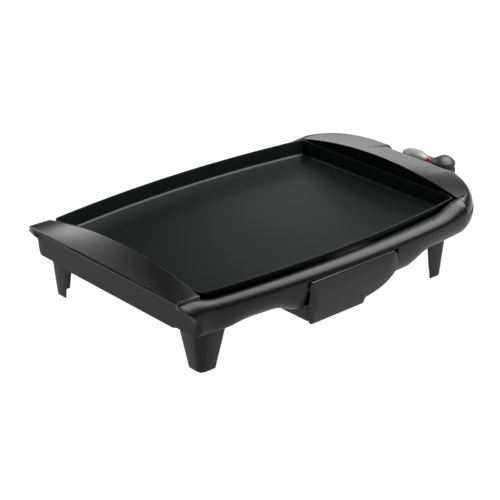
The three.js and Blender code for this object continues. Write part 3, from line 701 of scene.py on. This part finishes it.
# ---------------------------------------------------------------- drip tray front
# The tray's front panel, in the covers' plastic: gently bulged, rounded at its edges, cut away
# under its right-hand part so that fingers can reach behind it.
FRONT_Y = -180
FRONT_BACK = -176.4


def front_outline():
    """Outline of the panel in X and Z, from its lower left corner and back up its left edge."""
    points = []

    def corner(cx, cz, r, start, stop, count=8):
        for i in range(count + 1):
            a = math.radians(mix(start, stop, i / count))
            points.append((cx + r * math.cos(a), cz + r * math.sin(a)))

    corner(-69, 31.4, 4, 180, 270)
    points.extend([(-50, 27.4), (-25, 27.4), (0, 27.4)])
    corner(17, 31.4, 4, 270, 350, 5)
    points.extend([(22.2, 33), (24, 34.3)])
    points.extend(bezier((26, 34.8), (48, 37), (67, 44), (77.4, 55.4), 14))
    points.extend(bezier((78.8, 58.6), (80.8, 64), (80.6, 70), (78.4, 77), 8)[1:])
    corner(71.4, 76.8, 7, 10, 90)
    points.extend([(45, 84), (20, 84), (-10, 84), (-40, 84)])
    corner(-69, 80, 4, 90, 180)
    points.extend([(-73, 65), (-73, 50)])
    return points


def front_ring(inset, y, gather=0.0):
    """The panel's outline drawn in by inset, then gathered on to a line along its middle."""
    outline = front_outline()
    ring = []
    for i, (x, z) in enumerate(outline):
        nx, nz = inward(outline[-1:] + outline + outline[:1], i + 1)
        px, pz = x + nx * inset, z + nz * inset
        middle_x, middle_z = clamp(px * 0.92, -60, 60), 61 + px * 0.06
        ring.append(place(mix(px, middle_x, gather), y, mix(pz, middle_z, gather)))
    return ring


front_rings = [front_ring(i, y) for i, y in (
    (0.6, FRONT_BACK), (0, FRONT_BACK - 0.5), (0, -178.4), (0.3, -179.1), (0.8, -179.5),
    (1.6, -179.75), (2.6, -179.9))]
for i in range(1, 10):
    front_rings.append(front_ring(2.6, FRONT_Y - 1.6 * math.sin(math.radians(10 * i)), i / 10))
front = raw_piece("drip_tray_panel", *loft(front_rings, caps=True))
finish_piece(front, cover_black, "tray", "cover_plastic", "drip_tray_front", crisp=40)

# ---------------------------------------------------------------- thermostat control
# The plug-in control: two black shells, a pale smoked window dome, a red pilot lens and a
# ribbed knob with a finger dimple. It plugs into the notch at the right end.
control_black = moulded_plastic("control_black", (0.02, 0.0205, 0.0212), 0.45, 0.4)
CONTROL_X0, CONTROL_X1, CONTROL_Y0, CONTROL_Y1 = 299, 331, -57, 36
knob_low, knob_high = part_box("control_knob")
KNOB_X = ((knob_low.x + knob_high.x) / 2 - MIDDLE.x) / MM
KNOB_Y = ((knob_low.y + knob_high.y) / 2 - MIDDLE.y) / MM
KNOB_R = (knob_high.x - knob_low.x) / 2 / MM
KNOB_Z0, KNOB_Z1 = knob_low.z / MM, knob_high.z / MM + 3
KNOB_DOME = 9.5
lens_low, lens_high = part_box("pilot_lens")
LENS_X = ((lens_low.x + lens_high.x) / 2 - MIDDLE.x) / MM
LENS_Y = ((lens_low.y + lens_high.y) / 2 - MIDDLE.y) / MM
window_low, window_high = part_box("indicator_window")
WINDOW_SINK = 3             # the dome's top stays this far under its box
window_high.z -= WINDOW_SINK * MM


def control_loop(inset, z, r=14):
    """One level of the control's upper shell."""
    return rounded_loop(CONTROL_X0 + inset, CONTROL_Y0 + inset,
                        CONTROL_X1 - inset, CONTROL_Y1 - inset, z, max(2, r - inset), 8)


upper_profile = [(2, 82.3), (0.3, 82.3), (0, 82.8), (0, 90), (0.4, 92.4), (1.6, 94.4),
                 (3.4, 95.6), (6, 96)]
upper_rings = [control_loop(i, z) for i, z in upper_profile]
upper = raw_piece("control_top_shell", *loft(upper_rings, caps=True))
cavity = [control_loop(2.2, 80), control_loop(2.2, 91), control_loop(4, 93.6)]
carved(upper, raw_piece("tool", *loft(cavity, caps=True)), bar_tool(KNOB_X, KNOB_Y, 90, 100, 4),
       bar_tool(LENS_X, LENS_Y, 90, 100, 4.4))
finish_piece(upper, control_black, "control", "body_plastic", "control_upper_shell")


def knob_ring(r, z, ribs):
    """A level ring of the knob, with 32 grooves of the given depth."""
    ring = []
    for k in range(192):
        a = 2 * math.pi * k / 192
        rib = ribs * (0.5 + 0.5 * math.cos(32 * a)) ** 2
        ring.append(place(KNOB_X + (r - rib) * math.cos(a), KNOB_Y + (r - rib) * math.sin(a), z))
    return ring


def knob_height(x, y, r):
    """The knob's domed top with an oval finger dimple on its far side."""
    dome = KNOB_DOME * (r / KNOB_R) ** 2.3
    dx, dy = x / 4.5, (y - KNOB_R * 0.45) / 6.5
    dimple = 2.2 * math.exp(-(dx * dx + dy * dy) ** 1.6)
    return KNOB_Z1 - dome - dimple


side_low = KNOB_Z0
side_high = KNOB_Z1 - KNOB_DOME - 0.1
knob_rings = [knob_ring(KNOB_R - 1.2, side_low, 0), knob_ring(KNOB_R - 0.4, side_low, 0)]
knob_rings += [knob_ring(KNOB_R, side_low + 0.5, 0.1), knob_ring(KNOB_R, side_low + 1.2, 0.7),
               knob_ring(KNOB_R - 0.1, side_high - 0.8, 0.7),
               knob_ring(KNOB_R - 0.35, side_high, 0.15)]
for t in (0.955, 0.9, 0.82, 0.74, 0.66, 0.58, 0.5, 0.42, 0.34, 0.26, 0.18, 0.1, 0.04):
    ring = []
    for k in range(192):
        a = 2 * math.pi * k / 192
        x, y = KNOB_R * t * math.cos(a), KNOB_R * t * math.sin(a)
        ring.append(place(KNOB_X + x, KNOB_Y + y, knob_height(x, y, KNOB_R * t)))
    knob_rings.append(ring)
knob = raw_piece("ribbed_knob", *loft(knob_rings, caps=True))
carved(knob, bar_tool(KNOB_X, KNOB_Y, KNOB_Z0 - 2, KNOB_Z1 - 6, 2.7))
finish_piece(knob, control_black, "knob", "body_plastic", "control_knob")


def clear_plastic(name, colour, roughness, through):
    """Tinted clear plastic with a faint waviness and fine scuffs in its gloss."""
    material = moulded_plastic(name, colour, roughness, 0.5, grain=0.02, speck=0.05)
    shader = material.node_tree.nodes["Principled BSDF"]
    shader.inputs["Transmission Weight"].default_value = through
    shader.inputs["IOR"].default_value = 1.49
    return material


def dome_piece(name, low, high, thickness, count=48, rows=12):
    """A round-topped dome filling the box, as a thin shell open below."""
    cx, cy = ((low.x + high.x) / 2 - MIDDLE.x) / MM, ((low.y + high.y) / 2 - MIDDLE.y) / MM
    ax, ay, h = (high.x - low.x) / 2 / MM, (high.y - low.y) / 2 / MM, (high.z - low.z) / MM
    rings = []
    for side in (0, thickness):
        arcs = range(rows + 1) if side == 0 else range(rows, -1, -1)
        for i in arcs:
            a = math.radians(88 * i / rows)
            rings.append([place(cx + (ax - side) * math.cos(a) * math.cos(2 * math.pi * k / count),
                                cy + (ay - side) * math.cos(a) * math.sin(2 * math.pi * k / count),
                                low.z / MM + (h - side) * math.sin(a)) for k in range(count)])
    vertices, faces = loft(rings, closed_row=True)
    top, under = rows * count, (rows + 1) * count

    def between_tops(face):
        return min(face) >= top and max(face) < under + count and face[0] // count == rows

    faces = [face for face in faces if not between_tops(face)]
    faces.append(tuple(top + k for k in range(count)))
    faces.append(tuple(under + k for k in range(count - 1, -1, -1)))
    return raw_piece(name, vertices, faces)


window_smoke = clear_plastic("window_smoke", (0.26, 0.235, 0.235), 0.36, 0.3)
window = dome_piece("window_dome", window_low, window_high, 1.6)
finish_piece(window, window_smoke, "control", "smoke_window", "indicator_window", crisp=50)

red_clear = clear_plastic("red_lens_plastic", (0.5, 0.035, 0.04), 0.2, 0.3)
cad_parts["pilot_lens"].data.materials.clear()
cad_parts["pilot_lens"].data.materials.append(red_clear)
lamp_glass = clear_plastic("lamp_glass", (0.85, 0.75, 0.7), 0.05, 0.8)


# ---------------------------------------------------------------- inner metalwork and ceramics
# Pieces kept as the frame gives them: the zinc-coated base pan, runners and clips, the bright
# reflector, the heat-darkened element, ceramic posts and terminals, brass pins, plated screws.
def worked_metal(name, colour, roughness, scale, stretch, contrast, metallic=1.0):
    """Metal with marks from its making: stretch pulls the pattern out along X."""
    material = bpy.data.materials.new(name)
    material.use_nodes = True
    nodes, links = material.node_tree.nodes, material.node_tree.links
    shader = nodes["Principled BSDF"]
    shader.inputs["Metallic"].default_value = metallic
    where = nodes.new("ShaderNodeTexCoord")
    shape = nodes.new("ShaderNodeMapping")
    shape.inputs["Scale"].default_value = (1 / stretch, 1, 1)
    marks = nodes.new("ShaderNodeTexNoise")
    marks.inputs["Scale"].default_value = scale
    marks.inputs["Detail"].default_value = 5
    patches = nodes.new("ShaderNodeTexVoronoi")
    patches.inputs["Scale"].default_value = scale / 4
    tint = nodes.new("ShaderNodeMix")
    tint.data_type = "RGBA"
    tint.inputs[6].default_value = (*[c * (1 - contrast) for c in colour], 1)
    tint.inputs[7].default_value = (*[min(1, c * (1 + contrast)) for c in colour], 1)
    gloss = nodes.new("ShaderNodeMapRange")
    gloss.inputs["To Min"].default_value = roughness - 0.08
    gloss.inputs["To Max"].default_value = roughness + 0.1
    bump = nodes.new("ShaderNodeBump")
    bump.inputs["Strength"].default_value = 0.15
    bump.inputs["Distance"].default_value = 0.0001
    links.new(where.outputs["Object"], shape.inputs["Vector"])
    links.new(shape.outputs["Vector"], marks.inputs["Vector"])
    links.new(where.outputs["Object"], patches.inputs["Vector"])
    links.new(patches.outputs["Color"], tint.inputs[0])
    links.new(marks.outputs["Fac"], gloss.inputs["Value"])
    links.new(tint.outputs[2], shader.inputs["Base Color"])
    links.new(gloss.outputs["Result"], shader.inputs["Roughness"])
    links.new(marks.outputs["Fac"], bump.inputs["Height"])
    links.new(bump.outputs["Normal"], shader.inputs["Normal"])
    return material


zinc = worked_metal("zinc_spangle", (0.5, 0.51, 0.52), 0.4, 400, 1, 0.16)
bright_sheet = worked_metal("rolled_aluminium", (0.7, 0.71, 0.73), 0.28, 900, 12, 0.04)
hot_sheath = worked_metal("heated_sheath", (0.13, 0.115, 0.1), 0.5, 300, 1, 0.3)
plated = worked_metal("plated_screw", (0.56, 0.56, 0.58), 0.3, 900, 1, 0.05)
pin_brass = worked_metal("turned_brass", (0.6, 0.46, 0.22), 0.3, 1200, 0.2, 0.06)
fired = worked_metal("fired_ceramic", (0.62, 0.57, 0.49), 0.75, 700, 1, 0.08, metallic=0.0)
carried = {"base_pan": zinc, "tray_runner": zinc, "element_clip": zinc,
           "heat_reflector": bright_sheet, "heating_element": hot_sheath,
           "plate_support": fired, "terminal_block": fired, "thermostat_switch": fired,
           "terminal_pin": pin_brass, "contact_socket": pin_brass, "leg_screw": plated,
           "pan_screw": plated, "control_screw": plated, "knob_spindle": plated,
           "temperature_probe": plated, "pilot_lamp": lamp_glass,
           "control_lower_shell": control_black}
for name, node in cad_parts.items():
    for start, material in carried.items():
        if name.startswith(start):
            node.data.materials.clear()
            node.data.materials.append(material)
